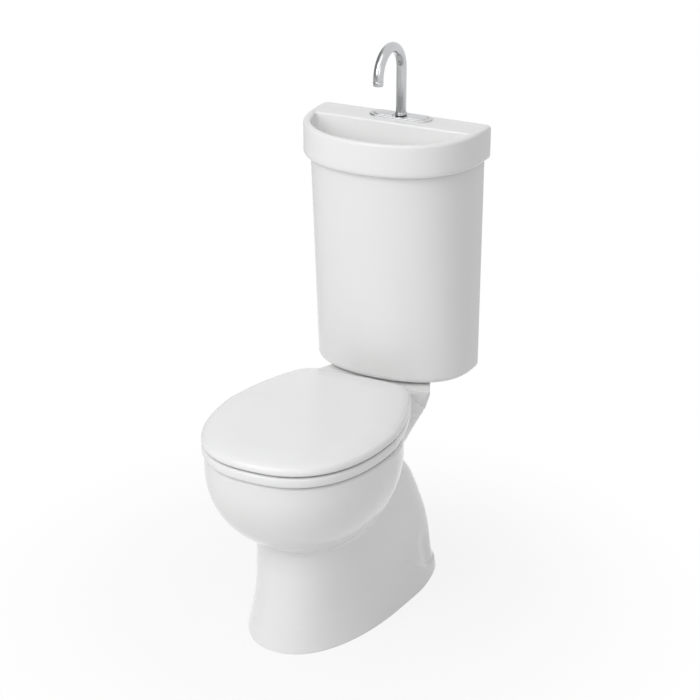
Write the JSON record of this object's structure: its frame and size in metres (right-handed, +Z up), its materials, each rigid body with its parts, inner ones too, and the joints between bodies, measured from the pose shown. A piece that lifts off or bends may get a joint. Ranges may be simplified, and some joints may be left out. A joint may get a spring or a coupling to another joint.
{
  "type": "toilet with basin on the cistern",
  "caption": "Close-coupled toilet with a hand basin and gooseneck spout on its tall D-shaped cistern, dual flush buttons at the spout's foot and a closed hinged seat.",
  "frame": {"origin": "on the floor, under the centre of the bounding box", "axes": "+Z up, -Y to the front, +Y to the wall that the cistern stands against, +X to the object's left as seen by someone who sits on it"},
  "size_m": [0.366, 0.656, 1.08],
  "materials": {
    "pan_china": "glossy white glaze",
    "cistern_china": "glossy white glaze",
    "basin_china": "glossy white glaze",
    "seat_plastic": "smooth gloss white",
    "chrome": "polished chrome plate",
    "steel": "plain stainless steel",
    "rubber": "matt black rubber",
    "buffer_rubber": "soft white buffer rubber",
    "moulding": "moulded fitting plastic",
    "valve_plastic": "off-white moulded plastic"
  },
  "bodies": {
    "toilet": {"pan": "pan_china", "cistern_tank": "cistern_china", "basin": "basin_china", "cistern_gasket": "rubber", "cistern_bolts": "steel", "cistern_bolt_washers": "rubber", "cistern_wing_nuts": "moulding", "spout": "chrome", "spout_o_ring": "rubber", "spout_washer": "steel", "spout_nut": "steel", "spout_hose": "moulding", "button_plate": "chrome", "button_housing": "moulding", "button_spring_full": "steel", "button_spring_half": "steel", "waste_strainer": "chrome", "waste_seal": "rubber", "waste_tail": "moulding", "flush_valve_body": "moulding", "flush_valve_washer": "rubber", "flush_valve_nut": "moulding", "rocker_pin": "steel", "fill_valve_body": "moulding", "fill_valve_washer": "rubber", "fill_valve_nut": "moulding", "fill_lever_pin": "steel", "hinge_posts": "seat_plastic", "hinge_pins": "steel", "hinge_studs": "steel", "hinge_sleeves": "rubber"},
    "lid": {"seat_lid": "seat_plastic", "lid_buffers": "buffer_rubber"},
    "ring": {"seat_ring": "seat_plastic", "ring_buffers": "buffer_rubber"},
    "full_button": {"button_full": "chrome", "push_rod_full": "moulding"},
    "half_button": {"button_half": "chrome", "push_rod_half": "moulding"},
    "full_rocker": {"rocker_full": "valve_plastic"},
    "half_rocker": {"rocker_half": "valve_plastic"},
    "valve_tube": {"flush_tube": "valve_plastic", "flush_seal": "rubber"},
    "half_float": {"half_flush_float": "valve_plastic"},
    "inlet_float": {"fill_float": "valve_plastic"},
    "inlet_lever": {"fill_lever": "valve_plastic"}
  },
  "joints": [
    {"name": "lid_hinge", "type": "hinge", "parent": "toilet", "child": "lid", "pos_m": [0, 0.098, 0.422], "axis": [-1, 0, 0], "range_deg": [0, 90]},
    {"name": "ring_hinge", "type": "hinge", "parent": "toilet", "child": "ring", "pos_m": [0, 0.098, 0.422], "axis": [-1, 0, 0], "range_deg": [0, 87]},
    {"name": "full_flush_button", "type": "slide", "parent": "toilet", "child": "full_button", "axis": [0, 0, -1], "range_m": [0, 0.007], "stiffness_N_per_m": 600, "springref_m": -0.004, "deforming": ["button_spring_full"]},
    {"name": "half_flush_button", "type": "slide", "parent": "toilet", "child": "half_button", "axis": [0, 0, -1], "range_m": [0, 0.007], "stiffness_N_per_m": 600, "springref_m": -0.004, "deforming": ["button_spring_half"]},
    {"name": "full_rocker_turn", "type": "hinge", "parent": "toilet", "child": "full_rocker", "pos_m": [0, 0.278, 0.74], "axis": [-1, 0, 0], "range_deg": [0, 21.2]},
    {"name": "half_rocker_turn", "type": "hinge", "parent": "toilet", "child": "half_rocker", "pos_m": [0, 0.278, 0.74], "axis": [-1, 0, 0], "range_deg": [0, 21.2]},
    {"name": "valve_tube_lift", "type": "slide", "parent": "toilet", "child": "valve_tube", "axis": [0, 0, 1], "range_m": [0, 0.0131]},
    {"name": "half_float_lift", "type": "slide", "parent": "toilet", "child": "half_float", "axis": [0, 0, 1], "range_m": [0, 0.0131]},
    {"name": "inlet_float_fall", "type": "slide", "parent": "toilet", "child": "inlet_float", "axis": [0, 0, -1], "range_m": [0, 0.019]},
    {"name": "inlet_lever_turn", "type": "hinge", "parent": "toilet", "child": "inlet_lever", "pos_m": [0, 0.292, 0.737], "axis": [1, 0, 0], "range_deg": [0, 40.3]}
  ],
  "couplings": [
    {"joint": "ring_hinge", "follows": "lid_hinge", "ratio": 0.96},
    {"joint": "full_rocker_turn", "follows": "full_flush_button", "rad_per_m": 52.36},
    {"joint": "valve_tube_lift", "follows": "full_flush_button", "ratio": 1.85},
    {"joint": "half_rocker_turn", "follows": "half_flush_button", "rad_per_m": 52.36},
    {"joint": "half_float_lift", "follows": "half_flush_button", "ratio": 1.85},
    {"joint": "inlet_lever_turn", "follows": "inlet_float_fall", "rad_per_m": 36.744}
  ]
}
